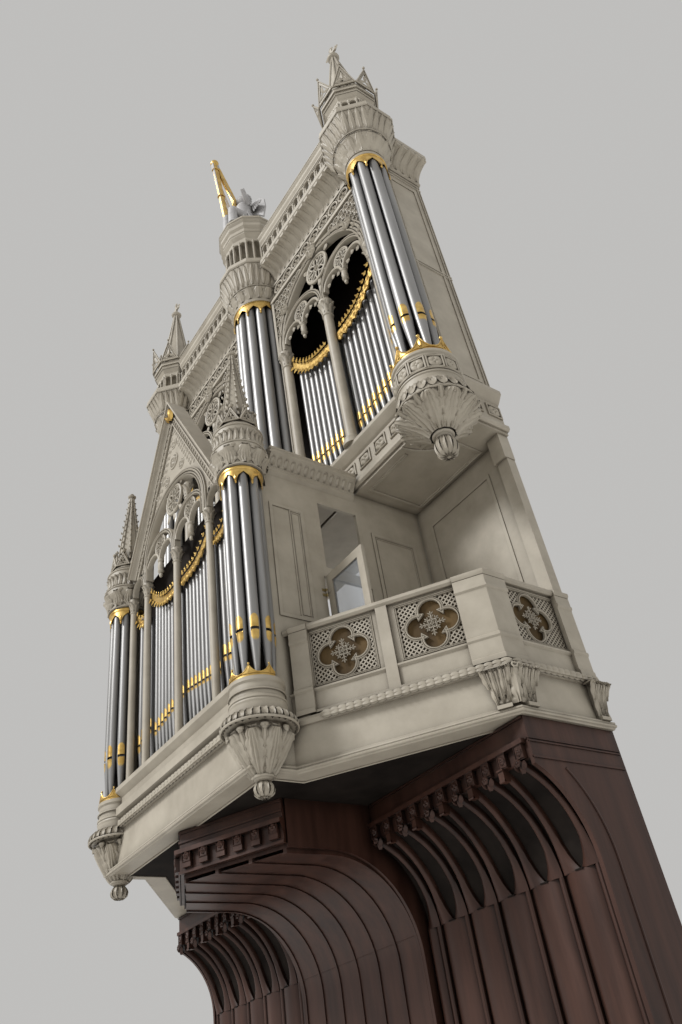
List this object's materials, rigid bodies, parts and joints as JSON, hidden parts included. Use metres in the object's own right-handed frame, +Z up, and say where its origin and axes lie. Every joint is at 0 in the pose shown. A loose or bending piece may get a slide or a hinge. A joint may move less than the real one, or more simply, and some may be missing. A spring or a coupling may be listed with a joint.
{
  "type": "church pipe organ",
  "caption": "Church pipe organ on a wall gallery: oak base, gallery with pierced balustrade, front case and main case with towers of pipes.",
  "frame": {"origin": "bottom centre of the back face, which stands against the wall at floor level", "axes": "+Z up, -Y forward from the wall, +X to the right seen from the front"},
  "size_m": [8.6534, 3.45, 20.1003],
  "materials": {
    "paint": "satin paint on timber",
    "oak": "dark waxed oak",
    "tin": "polished tin",
    "gilding": "gilded",
    "glass": "clear",
    "backing": "stained boards",
    "floorboards": "bare boards",
    "dark_timber": "unpainted timber",
    "figure_paint": "grey paint",
    "hinge_brass": "aged brass"
  },
  "bodies": {
    "case": {"oak_back": "oak", "oak_side_walls": "oak", "oak_plinth": "oak", "oak_wing_boards": "oak", "oak_wing_slats": "oak", "oak_wing_ribs": "oak", "oak_wing_fascias": "oak", "oak_middle_wall": "oak", "oak_vault": "oak", "oak_vault_ribs": "oak", "oak_vault_fascia": "oak", "oak_spandrels": "oak", "gallery_soffit": "paint", "gallery_facing": "paint", "gallery_floor": "floorboards", "gallery_corbels": "paint", "balustrade_rails": "paint", "balustrade_posts": "paint", "lattice_panels": "paint", "lattice_backings": "backing", "block_front_walls": "paint", "block_rear_walls": "paint", "door_heads": "paint", "door_hinges": "hinge_brass", "door_left": "paint", "back_panels": "paint", "wall_pilasters": "paint", "block_roof": "paint", "main_soffit": "paint", "main_base_band": "paint", "main_side_walls": "paint", "main_back": "dark_timber", "main_columns": "paint", "main_tracery": "paint", "main_frieze": "paint", "main_cornice": "paint", "main_parapet": "paint", "main_roof": "dark_timber", "front_sill": "paint", "front_columns": "paint", "front_tracery": "paint", "front_gable": "paint", "front_back": "dark_timber", "flat_pipes": "tin", "gold_swags": "gilding", "tower_corbels": "paint", "tower_drums": "paint", "tower_cores": "dark_timber", "tower_crowns": "gilding", "tower_pipes": "tin", "tower_valances": "gilding", "tower_caps": "paint", "tower_lanterns": "paint", "tower_spires": "paint", "harp_figure": "figure_paint"},
    "door": {"door_right": "paint", "door_right_glass": "glass"}
  },
  "joints": [
    {"name": "door_hinge", "type": "hinge", "parent": "case", "child": "door", "pos_m": [1.814, -1.96, 6.1], "axis": [0, 0, 1], "range_deg": [0, 90]}
  ]
}
